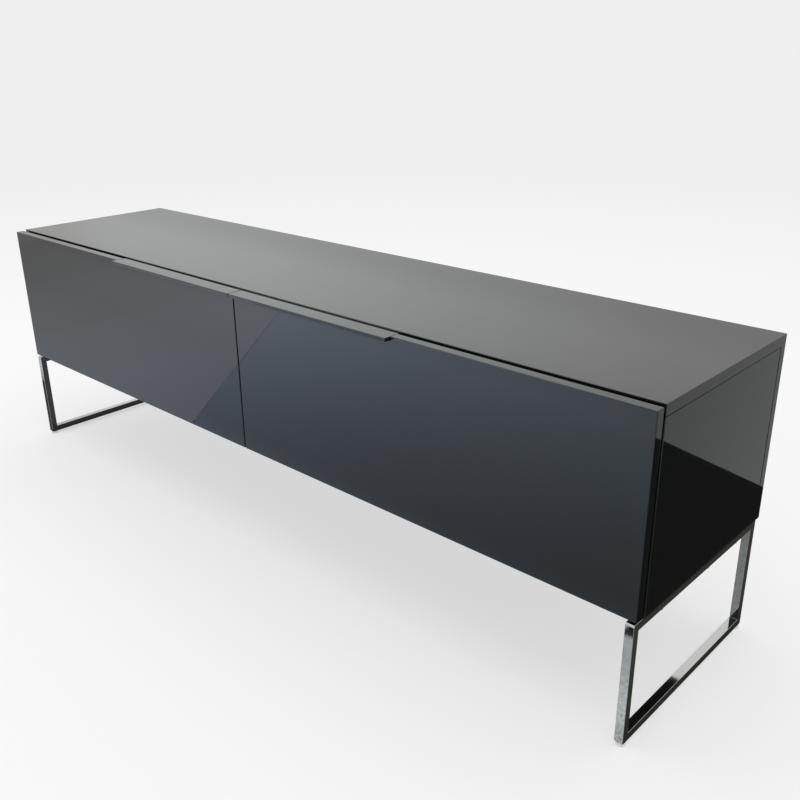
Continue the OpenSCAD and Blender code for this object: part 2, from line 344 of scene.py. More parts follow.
@dataclass(frozen=True)
class ZincSteel:
    """Steel that was rolled or turned and then plated with bright zinc.

    To the eye it is a cool grey metal with a soft shine and faint drawn lines along its length.
    """

    name: str
    metal: str = "#b9bdc1"
    metal_shade: str = "#9ca1a6"
    roughness: tuple[float, float] = (0.24, 0.38)
    line_spacing: float = 0.8 * MM
    stretch: tuple[float, float, float] = (1.0, 0.03, 1.0)

    def build(self) -> bpy.types.Material:
        """Returns the material."""
        material, tree = new_material(self.name)
        place = add_node(tree, "ShaderNodeTexCoord").outputs["Object"]
        drawn = add_node(tree, "ShaderNodeMapping", {"Vector": place, "Scale": self.stretch})
        lines = add_node(
            tree,
            "ShaderNodeTexNoise",
            {"Vector": drawn.outputs[0], "Scale": 1 / self.line_spacing, "Detail": 3.0},
        )
        metal = add_node(
            tree,
            "ShaderNodeMix",
            {0: lines.outputs[0], 6: linear(self.metal_shade), 7: linear(self.metal)},
            data_type="RGBA",
        )
        rough = add_node(
            tree,
            "ShaderNodeMapRange",
            {"Value": lines.outputs[0], "To Min": self.roughness[0], "To Max": self.roughness[1]},
        )
        bump = add_node(
            tree,
            "ShaderNodeBump",
            {"Height": lines.outputs[0], "Strength": 0.3, "Distance": 0.02 * MM},
        )
        shader = add_node(
            tree,
            "ShaderNodeBsdfPrincipled",
            {
                "Base Color": metal.outputs[2],
                "Metallic": 1.0,
                "Roughness": rough.outputs[0],
                "Normal": bump.outputs[0],
            },
        )
        finish_surface(tree, shader)
        return material


@dataclass(frozen=True)
class BeechDowel:
    """Turned beech with pressed flutes: pale, straight grained and dry."""

    name: str
    early: str = "#cfae80"
    late: str = "#a98254"
    grain_width: float = 1.2 * MM

    def build(self) -> bpy.types.Material:
        """Returns the material."""
        material, tree = new_material(self.name)
        place = add_node(tree, "ShaderNodeTexCoord").outputs["Object"]
        grain = add_node(
            tree,
            "ShaderNodeTexWave",
            {"Vector": place, "Scale": 1 / self.grain_width / 6, "Distortion": 6.0, "Detail": 3.0},
        )
        colour = add_node(
            tree,
            "ShaderNodeMix",
            {0: grain.outputs[1], 6: linear(self.early), 7: linear(self.late)},
            data_type="RGBA",
        )
        bump = add_node(
            tree, "ShaderNodeBump", {"Height": grain.outputs[1], "Strength": 0.4, "Distance": 0.05 * MM}
        )
        shader = add_node(
            tree,
            "ShaderNodeBsdfPrincipled",
            {"Base Color": colour.outputs[2], "Roughness": 0.6, "Normal": bump.outputs[0]},
        )
        finish_surface(tree, shader)
        return material


@dataclass(frozen=True)
class ClearPlastic:
    """Moulded clear plastic or soft clear rubber, frosted by its mould and by use: milky and waxy."""

    name: str
    body: str = "#e4e5e0"
    body_shade: str = "#cfd0ca"
    roughness: float = 0.35
    frost_size: float = 0.7 * MM

    def build(self) -> bpy.types.Material:
        """Returns the material."""
        material, tree = new_material(self.name)
        place = add_node(tree, "ShaderNodeTexCoord").outputs["Object"]
        frost = add_node(
            tree, "ShaderNodeTexNoise", {"Vector": place, "Scale": 1 / self.frost_size, "Detail": 2.0}
        )
        colour = add_node(
            tree,
            "ShaderNodeMix",
            {0: frost.outputs[0], 6: linear(self.body_shade), 7: linear(self.body)},
            data_type="RGBA",
        )
        bump = add_node(
            tree, "ShaderNodeBump", {"Height": frost.outputs[0], "Strength": 0.4, "Distance": 0.02 * MM}
        )
        shader = add_node(
            tree,
            "ShaderNodeBsdfPrincipled",
            {
                "Base Color": colour.outputs[2],
                "Roughness": self.roughness,
                "Normal": bump.outputs[0],
                "Transmission Weight": 0.35,
                "IOR": 1.5,
            },
        )
        finish_surface(tree, shader)
        return material


# ---- Surfaces ----


@dataclass
class Outline:
    """A closed outline in its own plane, as points with outward normals, turning anticlockwise."""

    points: Array
    normals: Array


def rounded_outline(corners: list[tuple[float, float]], radii: list[float], steps: int = 4) -> Outline:
    """Rounds each corner of an anticlockwise polygon with an arc that touches both its sides.

    The arc starts where the corner's tangent length, the radius times the tangent of half the turn,
    lies before the corner. Its normals are the first side's normal turned evenly to the second's, and
    its points are its centre plus or minus the radius along them, minus for an inner corner.

    Args:
        corners: the polygon's corners.
        radii: one radius for each corner.
        steps: steps in each arc.

    Returns:
        The outline.
    """
    at = np.array(corners, float)
    radius = np.array(radii, float)[:, None]
    before = at - np.roll(at, 1, axis=0)
    after = np.roll(at, -1, axis=0) - at
    before /= np.linalg.norm(before, axis=1, keepdims=True)
    after /= np.linalg.norm(after, axis=1, keepdims=True)
    turn = np.arctan2(
        before[:, 0] * after[:, 1] - before[:, 1] * after[:, 0], (before * after).sum(axis=1)
    )[:, None]
    tangent = radius * np.tan(np.abs(turn) / 2)
    first_normal = np.stack([before[:, 1], -before[:, 0]], axis=1)
    centre = at - before * tangent - first_normal * radius * np.sign(turn)
    angle = turn * np.linspace(0, 1, steps + 1)
    cosine, sine = np.cos(angle)[..., None], np.sin(angle)[..., None]
    normal = first_normal[:, None, :]
    turned = np.stack([-normal[..., 1], normal[..., 0]], axis=-1)
    normals = normal * cosine + turned * sine
    points = centre[:, None, :] + normals * (radius * np.sign(turn))[..., None]
    return Outline(points.reshape(-1, 2), normals.reshape(-1, 2))


@dataclass
class Shell:
    """A closed surface: points, normals if it brings its own, and faces of any number of corners."""

    points: Array
    normals: Array | None
    faces: list[list[int]]

    def placed(self, turn: Array, shift: Array) -> "Shell":
        """Returns a copy that was turned by a 3 by 3 matrix and then shifted."""
        normals = None if self.normals is None else self.normals @ turn.T
        return Shell(self.points @ turn.T + shift, normals, self.faces)


def joined(shells: list[Shell]) -> Shell:
    """Returns one shell that holds all the given ones."""
    starts = np.cumsum([0] + [len(shell.points) for shell in shells[:-1]])
    faces = [
        [start + corner for corner in face] for start, shell in zip(starts, shells) for face in shell.faces
    ]
    points = np.concatenate([shell.points for shell in shells])
    bare = any(shell.normals is None for shell in shells)
    normals = None if bare else np.concatenate([shell.normals for shell in shells])
    return Shell(points, normals, faces)


def grid_faces(rows: int, columns: int, wrap_rows: bool = False) -> list[list[int]]:
    """Quads of a grid of points whose columns close on themselves, and whose rows may.

    Args:
        rows: number of rows of points.
        columns: number of points in a row.
        wrap_rows: True where the last row meets the first.

    Returns:
        The corner numbers of each quad.
    """
    row = np.arange(rows if wrap_rows else rows - 1)[:, None]
    column = np.arange(columns)[None, :]
    next_row, next_column = (row + 1) % rows, (column + 1) % columns
    quads = [
        row * columns + column,
        row * columns + next_column,
        next_row * columns + next_column,
        next_row * columns + column,
    ]
    return np.stack(np.broadcast_arrays(*quads), axis=-1).reshape(-1, 4).tolist()


def bar(outline: Outline, length: float, end_radius: float, steps: int = 4) -> Shell:
    """Carries an outline straight along +Z and rounds the arris of both its ends.

    At an angle from the end's face, the outline is drawn in along its normals by the end radius times
    one minus the sine, and stands off the end by the end radius times one minus the cosine.

    Args:
        outline: the outline in the plane of X and Y.
        length: how far it is carried.
        end_radius: radius of the arris at each end.
        steps: steps in the arris.

    Returns:
        The closed bar, from Z 0 to the length.
    """
    angle = np.linspace(0, math.pi / 2, steps + 1)
    inset = end_radius * (1 - np.sin(angle))
    height = end_radius * (1 - np.cos(angle))
    insets = np.concatenate([inset, inset[::-1]])
    heights = np.concatenate([height, length - height[::-1]])
    around = np.concatenate([np.sin(angle), np.sin(angle[::-1])])
    along = np.concatenate([-np.cos(angle), np.cos(angle[::-1])])
    flat = outline.points[None] - outline.normals[None] * insets[:, None, None]
    level = np.broadcast_to(heights[:, None, None], (*flat.shape[:2], 1))
    points = np.concatenate([flat, level], axis=-1).reshape(-1, 3)
    out = outline.normals[None] * around[:, None, None]
    lift = np.broadcast_to(along[:, None, None], (*out.shape[:2], 1))
    normals = np.concatenate([out, lift], axis=-1).reshape(-1, 3)
    columns = len(outline.points)
    rows = len(heights)
    faces = grid_faces(rows, columns)
    faces.append(list(range(columns))[::-1])
    faces.append(list(range((rows - 1) * columns, rows * columns)))
    return Shell(points, normals, faces)


def turned(corners: list[tuple[float, float]], arris: float, segments: int = 40) -> Shell:
    """Turns a profile of radius and height about +Z, and rounds its corners off the axis.

    A point is the profile's radius times the cosine and sine of its angle, and the profile's height.
    Its normal is the profile's own, turned by the same angle.

    Args:
        corners: radius and height of each corner, from the bottom of the axis to its top.
        arris: the radius of the rounded corners.
        segments: steps round the axis.

    Returns:
        The closed shell.
    """
    steps = 4
    whole = rounded_outline(corners, [0] + [arris] * (len(corners) - 2) + [0], steps)
    kept = slice(steps, len(whole.points) - steps)
    profile, slope = whole.points[kept], whole.normals[kept]
    angle = np.linspace(0, FULL_TURN, segments, endpoint=False)
    ring = np.stack([np.cos(angle), np.sin(angle)], axis=-1)
    flat = profile[:, None, :1] * ring[None]
    level = np.broadcast_to(profile[:, None, 1:], (*flat.shape[:2], 1))
    out = slope[:, None, :1] * ring[None]
    lift = np.broadcast_to(slope[:, None, 1:], (*out.shape[:2], 1))
    points = np.concatenate([flat, level], axis=-1).reshape(-1, 3)
    normals = np.concatenate([out, lift], axis=-1).reshape(-1, 3)
    return Shell(points, normals, grid_faces(len(profile), segments))


def axis_turn(across: Axis, up: Axis) -> Array:
    """The turn that lays a bar's X and Y along two of the row's axes, and its length along the third.

    Args:
        across: where the outline's X goes.
        up: where the outline's Y goes.

    Returns:
        A 3 by 3 matrix. It is a proper turn, so outward normals stay outward.
    """
    unit = np.eye(3)
    first, second = unit[across.value], unit[up.value]
    return np.stack([first, second, np.cross(first, second)], axis=1)


def make_object(name: str, shell: Shell, material: bpy.types.Material) -> bpy.types.Object:
    """Puts a shell into a new object at the origin, welded and facing outwards.

    Args:
        name: the piece's name.
        shell: the surface in the row's frame. Without normals of its own it is smooth except where
            its faces meet at more than the crease angle.
        material: its finish.

    Returns:
        The object.
    """
    same_place, no_length, crease = 1e-7, 1e-8, math.radians(35)
    mesh = bpy.data.meshes.new(name)
    mesh.from_pydata(shell.points.tolist(), [], shell.faces)
    if shell.normals is not None:
        way_out = mesh.attributes.new("way_out", "FLOAT_VECTOR", "POINT")
        way_out.data.foreach_set("vector", shell.normals.astype(np.float32).ravel())
    weld = bmesh.new()
    weld.from_mesh(mesh)
    bmesh.ops.remove_doubles(weld, verts=weld.verts, dist=same_place)
    bmesh.ops.dissolve_degenerate(weld, edges=weld.edges, dist=no_length)
    bmesh.ops.recalc_face_normals(weld, faces=weld.faces)
    weld.to_mesh(mesh)
    weld.free()
    mesh.polygons.foreach_set("use_smooth", np.ones(len(mesh.polygons), bool))
    if shell.normals is None:
        mesh.set_sharp_from_angle(angle=crease)
    else:
        ways = np.zeros(len(mesh.vertices) * 3, np.float32)
        mesh.attributes["way_out"].data.foreach_get("vector", ways)
        mesh.attributes.remove(mesh.attributes["way_out"])
        mesh.normals_split_custom_set_from_vertices(ways.reshape(-1, 3).tolist())
    mesh.materials.append(material)
    piece = bpy.data.objects.new(name, mesh)
    bpy.context.scene.collection.objects.link(piece)
    return piece


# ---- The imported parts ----


@dataclass
class Extent:
    """A box in the row's frame, by its lowest and highest corners."""

    low: Array
    high: Array

    @classmethod
    def of(cls, *nodes: str) -> "Extent":
        """Returns the box round some CAD nodes."""
        boxes = [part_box(node) for node in nodes]
        return cls(np.min([box[0] for box in boxes], axis=0), np.max([box[1] for box in boxes], axis=0))

    @property
    def size(self) -> Array:
        """How long the box is along each axis."""
        return self.high - self.low


def solids_of(node: str) -> list[Array]:
    """Finds the separate solids in a CAD node.

    Corners at one place count as one, and each corner takes the lowest number among the corners that
    it shares a triangle with, until no number changes: a solid is the corners with one number.

    Args:
        node: the node's name.

    Returns:
        The corners of each solid, from the lowest X to the highest.
    """
    mesh = frame["nodes"][node].data
    corners = np.zeros(len(mesh.vertices) * 3)
    mesh.vertices.foreach_get("co", corners)
    corners = corners.reshape(-1, 3)
    microns = 1e6
    triangles = np.zeros(len(mesh.loops), int)
    mesh.loops.foreach_get("vertex_index", triangles)
    _, same = np.unique(np.round(corners * microns), axis=0, return_inverse=True)
    triangles = same.reshape(-1)[triangles].reshape(-1, 3)
    number = np.arange(same.max() + 1)
    settled = False
    while not settled:
        lowest = number[triangles].min(axis=1)
        changed = number.copy()
        np.minimum.at(changed, triangles.ravel(), np.repeat(lowest, 3))
        settled = bool((changed == number).all())
        number = changed
    owner = number[same.reshape(-1)]
    solids = [corners[owner == mark] for mark in np.unique(owner)]
    return sorted(solids, key=lambda solid: tuple(solid.min(axis=0)))


class Slot(Enum):
    """The record's material slots."""

    LACQUER = "gloss_lacquer"
    LACQUERED_METAL = "lacquered_aluminium"
    INNER_BOARD = "inner_board"
    CHROME = "chrome_tube"
    RUNNER = "zinc_runner"
    SCREW = "zinc_screw"
    DOWEL = "beech_dowel"
    BUFFER = "clear_rubber"
    GLIDE = "clear_glide"


def build_finishes() -> dict[Slot, bpy.types.Material]:
    """Returns the material of each slot."""
    finishes = {
        Slot.LACQUER: GlossLacquer("gloss_polyester_lacquer"),
        Slot.LACQUERED_METAL: GlossLacquer("gloss_lacquer_on_aluminium"),
        Slot.INNER_BOARD: MelamineBoard("pressed_melamine_board"),
        Slot.CHROME: ChromePlate("bright_chrome_plate"),
        Slot.RUNNER: ZincSteel("rolled_zinc_plated_steel"),
        Slot.SCREW: ZincSteel("turned_zinc_plated_steel", stretch=(1.0, 1.0, 1.0)),
        Slot.DOWEL: BeechDowel("turned_beech"),
        Slot.BUFFER: ClearPlastic("moulded_clear_rubber"),
        Slot.GLIDE: ClearPlastic("moulded_clear_plastic"),
    }
    return {slot: finish.build() for slot, finish in finishes.items()}


@dataclass
class Workshop:
    """Makes each finished piece, gives it its finish, and hands it to its body."""

    finishes: dict[Slot, bpy.types.Material]
    slots: dict[str, Slot] = field(init=False)
    bodies: dict[str, str] = field(init=False)

    def __post_init__(self) -> None:
        """Reads each node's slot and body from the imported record."""
        record = frame["record"]
        self.slots = {part["node"]: Slot(part["material_slot"]) for part in record["subparts"]}
        groups = record["behaviour"]["bodies"]
        self.bodies = {node: body for body, nodes in groups.items() for node in nodes}

    def hand_over(self, piece: bpy.types.Object, *nodes: str) -> bpy.types.Object:
        """Puts a piece in the place of some nodes of one body and one slot.

        Args:
            piece: the finished piece.
            nodes: the CAD nodes that it stands for.

        Returns:
            The piece.
        """
        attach(piece, self.bodies[nodes[0]])
        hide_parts(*nodes)
        LOG.info("%s stands for %s", piece.name, ", ".join(nodes))
        return piece

    def make(self, name: str, shell: Shell, *nodes: str) -> bpy.types.Object:
        """Makes a piece from a shell, in the place of some nodes."""
        piece = make_object(name, shell, self.finishes[self.slots[nodes[0]]])
        return self.hand_over(piece, *nodes)

    def ease(self, name: str, node: str, arris: float, segments: int = 3) -> bpy.types.Object:
        """Makes a board from a CAD node's own shape, bores and grooves, with its outer arrises eased.

        An edge is an outer arris where its middle lies on two sides of the board's box at once.

        Args:
            name: the piece's name.
            node: the CAD node.
            arris: the arris radius.
            segments: steps in the arris.

        Returns:
            The piece.
        """
        same_place, on_box = 1e-6, 1e-5
        flat, crease = math.radians(0.5), math.radians(30)
        limits = Extent.of(node)
        mesh = bpy.data.meshes.new(name)
        board = bmesh.new()
        board.from_mesh(frame["nodes"][node].data)
        bmesh.ops.remove_doubles(board, verts=board.verts, dist=same_place)
        bmesh.ops.dissolve_limit(board, angle_limit=flat, verts=board.verts, edges=board.edges)
        weight = board.edges.layers.float.new("bevel_weight_edge")
        ends = np.array([[corner.co for corner in edge.verts] for edge in board.edges], float)
        middle = ends.mean(axis=1)
        on_side = (np.abs(middle - limits.low) < on_box) | (np.abs(middle - limits.high) < on_box)
        for edge, sides in zip(board.edges, on_side.sum(axis=1)):
            edge[weight] = float(sides >= 2)
        board.to_mesh(mesh)
        board.free()
        mesh.materials.clear()
        mesh.materials.append(self.finishes[self.slots[node]])
        mesh.polygons.foreach_set("use_smooth", np.ones(len(mesh.polygons), bool))
        mesh.set_sharp_from_angle(angle=crease)
        piece = bpy.data.objects.new(name, mesh)
        bpy.context.scene.collection.objects.link(piece)
        bevel = piece.modifiers.new("eased arris", "BEVEL")
        bevel.limit_method = "WEIGHT"
        bevel.width = arris
        bevel.segments = segments
        bevel.harden_normals = True
        bevel.use_clamp_overlap = False
        bevel.loop_slide = False
        # The thin triangles round the bores would bend the light on a board's flats, so the larger faces
        # set the normals.
        even = piece.modifiers.new("even flats", "WEIGHTED_NORMAL")
        even.weight = 100
        even.keep_sharp = True
        return self.hand_over(piece, node)

    def dress_rest(self) -> None:
        """Gives the CAD nodes that still show their finishes."""
        for name, node in frame["nodes"].items():
            if node.hide_render:
                continue
            node.data.materials.clear()
            node.data.materials.append(self.finishes[self.slots[name]])
            LOG.info("%s keeps its CAD shape", name)


# ---- Screws ----


class Recess(Enum):
    """The driver's recess in a screw's head."""

    CROSS = "cross"
    HEXAGON = "hexagon"


def ramp(value: Array) -> Array:
    """A smooth step from 0 at zero to 1 at one: three squares less two cubes."""
    held = np.clip(value, 0, 1)
    return held * held * (3 - 2 * held)


@dataclass(frozen=True)
class Screw:
    """One kind of screw: a head with a driver's recess, and a threaded shank with a point.

    slot_width and slot_fall are shares of recess_size: half a cross slot's width, and the length over
    which its floor rises. face_spread under one draws the face's rings out towards the rim.
    """

    head_radius: float
    head_depth: float
    foot_radius: float
    shank_radius: float
    recess: Recess
    recess_size: float
    recess_depth: float
    dome: float = 0.0
    sunk: float = 0.0
    pitch: float = 1.6 * MM
    thread: float = 0.35 * MM
    slot_width: float = 0.24
    slot_fall: float = 0.6
    recess_edge: float = 0.25 * MM
    rim_round: float = 0.15 * MM
    segments: int = 48
    face_rings: int = 22
    face_spread: float = 0.8
    thread_rings: int = 5

    def shell(self, length: float) -> Shell:
        """Works out the screw with the middle of its head's face at zero, and its shank along -Z.

        The head's face is a dome that falls with the square of the radius, less the recess. A cross is
        two slots whose floors rise towards their ends, and a hexagon is everything nearer to the axis
        than its flats. The shank's radius rises and falls with the height over the pitch less the share
        of a turn, which is a helix, and narrows to the point.

        Args:
            length: from the head's face to the point.

        Returns:
            The closed shell, with no normals of its own.
        """
        turn = np.linspace(0, FULL_TURN, self.segments, endpoint=False)[None]
        radius = self.head_radius * np.linspace(0, 1, self.face_rings)[:, None] ** self.face_spread
        across, up = radius * np.cos(turn), radius * np.sin(turn)
        if self.recess is Recess.CROSS:
            slots = [
                ramp((self.recess_size * self.slot_width - np.abs(side)) / self.recess_edge)
                * ramp((self.recess_size - np.abs(reach)) / (self.recess_size * self.slot_fall))
                for side, reach in ((across, up), (up, across))
            ]
            cut = np.maximum(*slots)
        else:
            ways = (0, math.pi / 3, -math.pi / 3)
            flats = [np.abs(across * math.cos(way) + up * math.sin(way)) for way in ways]
            cut = ramp((self.recess_size - np.maximum.reduce(flats)) / self.recess_edge)
        face = self.dome * (1 - (radius / self.head_radius) ** 2) - self.recess_depth * cut - self.sunk
        start = -self.sunk - self.head_depth
        rings_down = max(8, int((length + start) / self.pitch * self.thread_rings))
        level = np.linspace(start, self.pitch - length, rings_down)[:, None]
        wave = np.abs(((level / self.pitch - turn / FULL_TURN) % 1) * 2 - 1)
        shank = self.shank_radius - self.thread * wave
        rim = self.head_radius + 0 * turn
        foot = self.foot_radius + 0 * turn
        tip = 0 * turn
        rings = np.concatenate([radius + 0 * turn, rim, foot, shank, tip])
        levels = np.concatenate(
            [face, tip - self.sunk - self.rim_round, tip + start, level + 0 * turn, tip - length]
        )
        points = np.stack([rings * np.cos(turn), rings * np.sin(turn), levels], axis=-1)
        faces = grid_faces(len(rings), self.segments)
        return Shell(points.reshape(-1, 3), None, faces)


def place_screws(node: str, screw: Screw) -> Shell:
    """Puts a screw in the place of each solid of a CAD node.

    A solid's longest side is the screw's axis, and its head is at the end whose corners lie further
    from that axis.

    Args:
        node: the CAD node that holds the screws.
        screw: the kind of screw.

    Returns:
        All the screws as one shell.
    """
    shells, rim_share = [], 0.98
    for solid in solids_of(node):
        low, high = solid.min(axis=0), solid.max(axis=0)
        axis = int(np.argmax(high - low))
        centre = (low + high) / 2
        off_axis = np.linalg.norm(np.delete(solid - centre, axis, axis=1), axis=1)
        widest = solid[off_axis > off_axis.max() * rim_share][:, axis].mean()
        at_top = widest > centre[axis]
        unit = np.eye(3)
        out = unit[axis] * (1 if at_top else -1)
        across = unit[(axis + 1) % 3]
        turn = np.stack([across, np.cross(out, across), out], axis=1)
        head = centre.copy()
        head[axis] = high[axis] if at_top else low[axis]
        shells.append(screw.shell(high[axis] - low[axis]).placed(turn, head))
    return joined(shells)


def place_discs(node: str, axis: Axis, arris: float) -> Shell:
    """Puts a disc with rounded arrises in the place of each solid of a CAD node.

    Args:
        node: the CAD node that holds the discs.
        axis: the discs' axis.
        arris: the arris radius.

    Returns:
        All the discs as one shell.
    """
    shells, up = [], axis.value
    unit = np.eye(3)
    turn = np.stack([unit[(up + 1) % 3], unit[(up + 2) % 3], unit[up]], axis=1)
    for solid in solids_of(node):
        low, high = solid.min(axis=0), solid.max(axis=0)
        radius, height = (high[0] - low[0]) / 2, high[up] - low[up]
        disc = turned([(0, 0), (radius, 0), (radius, height), (0, height)], arris)
        foot = (low + high) / 2
        foot[up] = low[up]
        shells.append(disc.placed(turn, foot))
    return joined(shells)


# ---- Sub-assemblies ----


@dataclass
class Cabinet:
    """The lacquered body: top, sides, back, bottom and divider, with its fastenings and glides."""

    panel_arris: float = 0.9 * MM
    divider_arris: float = 0.5 * MM
    glide_arris: float = 0.5 * MM
    back_screw: Screw = Screw(
        head_radius=3.7 * MM,
        head_depth=2.6 * MM,
        foot_radius=1.8 * MM,
        shank_radius=2.0 * MM,
        recess=Recess.CROSS,
        recess_size=2.4 * MM,
        recess_depth=1.4 * MM,
        sunk=0.3 * MM,
    )
    frame_screw: Screw = Screw(
        head_radius=6.0 * MM,
        head_depth=3.2 * MM,
        foot_radius=6.0 * MM,
        shank_radius=3.0 * MM,
        recess=Recess.HEXAGON,
        recess_size=2.5 * MM,
        recess_depth=2.2 * MM,
        sunk=0.1 * MM,
        pitch=1.0 * MM,
    )

    def build(self, workshop: Workshop) -> None:
        """Makes the cabinet's pieces."""
        for node in ("top_panel", "left_side_panel", "right_side_panel", "back_panel", "bottom_panel"):
            workshop.ease(node.replace("panel", "board"), node, self.panel_arris)
        workshop.ease("middle_board", "centre_divider", self.divider_arris)
        workshop.make("panel_screws", place_screws("back_screws", self.back_screw), "back_screws")
        workshop.make("leg_screws", place_screws("frame_screws", self.frame_screw), "frame_screws")
        glides = place_discs("floor_glides", Axis.Z, self.glide_arris)
        workshop.make("glides", glides, "floor_glides")


@dataclass
class LegFrame:
    """One end's leg frame: a closed loop of square tube, with its corners ground round."""

    side: Side
    outer_corner: float = 4.0 * MM
    inner_corner: float = 0.8 * MM
    tube_corner: float = 0.6 * MM
    corner_steps: int = 8

    def build(self, workshop: Workshop) -> None:
        """Makes the loop in the place of its four tubes."""
        places = ("front_post", "rear_post", "floor_rail", "top_rail")
        nodes = [f"{self.side.value}_frame_{place}" for place in places]
        workshop.make(f"{self.side.value}_leg_frame", self.loop(Extent.of(*nodes)), *nodes)

    def loop(self, extent: Extent) -> Shell:
        """Carries the tube's rounded square section round the loop.

        A point is the outer outline's, moved in by its share of the tube's width towards the inner
        outline's point of the same step, and across by its own place in the tube.

        Args:
            extent: the box round the whole frame.

        Returns:
            The closed loop.
        """
        low, high = extent.low, extent.high
        width = high[0] - low[0]
        outer = rounded_outline(
            [(low[1], low[2]), (high[1], low[2]), (high[1], high[2]), (low[1], high[2])],
            [self.outer_corner] * 4,
            self.corner_steps,
        )
        inner = rounded_outline(
            [
                (low[1] + width, low[2] + width),
                (high[1] - width, low[2] + width),
                (high[1] - width, high[2] - width),
                (low[1] + width, high[2] - width),
            ],
            [self.inner_corner] * 4,
            self.corner_steps,
        )
        section = rounded_outline(
            [(0, 0), (width, 0), (width, width), (0, width)], [self.tube_corner] * 4, self.corner_steps
        )
        share = section.points[:, 0, None, None] / width
        flat = outer.points[None] * (1 - share) + inner.points[None] * share
        across = np.broadcast_to(low[0] + section.points[:, 1, None, None], (*flat.shape[:2], 1))
        points = np.concatenate([across, flat], axis=-1)
        away = -section.normals[:, 0, None, None] * outer.normals[None]
        sideways = np.broadcast_to(section.normals[:, 1, None, None], (*away.shape[:2], 1))
        normals = np.concatenate([sideways, away], axis=-1)
        rows, columns = flat.shape[:2]
        faces = grid_faces(rows, columns, wrap_rows=True)
        return Shell(points.reshape(-1, 3), normals.reshape(-1, 3), faces)


@dataclass
class Runner:
    """One ball runner: three folded steel channels, one in the other."""

    side: Side
    place: str
    steel: float = 1.2 * MM
    bend: float = 2.0 * MM
    edge_share: float = 0.4
    end_arris: float = 0.2 * MM

    def build(self, workshop: Workshop) -> None:
        """Makes the runner's three members."""
        side, place = self.side.value, self.place
        web_low = (self.side is Side.LEFT) == (place == "outer")
        members = {
            f"{side}_bay_{place}_rail": (f"{side}_{place}_cabinet_member", web_low),
            f"{side}_{place}_middle_slide": (f"{side}_{place}_middle_member", web_low),
            f"{side}_{place}_drawer_slide": (f"{side}_{place}_drawer_member", not web_low),
        }
        for node, (name, low_web) in members.items():
            workshop.make(name, self.channel(Extent.of(node), low_web), node)

    def channel(self, extent: Extent, web_low: bool) -> Shell:
        """Carries the folded C section along the runner.

        Args:
            extent: the member's box.
            web_low: True where the web is at the box's lower X.

        Returns:
            The closed channel.
        """
        reach, height = extent.size[0], extent.size[2]
        steel, inside = self.steel, self.bend - self.steel
        lip = self.steel * self.edge_share
        corners = [
            (0, 0), (reach, 0), (reach, steel), (steel, steel),
            (steel, height - steel), (reach, height - steel), (reach, height), (0, height),
        ]
        radii = [self.bend, lip, lip, inside, inside, lip, lip, self.bend]
        if not web_low:
            corners = [(reach - across, up) for across, up in corners][::-1]
            radii = radii[::-1]
        outline = rounded_outline(corners, radii, 4)
        shell = bar(outline, extent.size[1], self.end_arris, 2)
        turn = axis_turn(Axis.X, Axis.Z)
        return shell.placed(turn, np.array([extent.low[0], extent.high[1], extent.low[2]]))


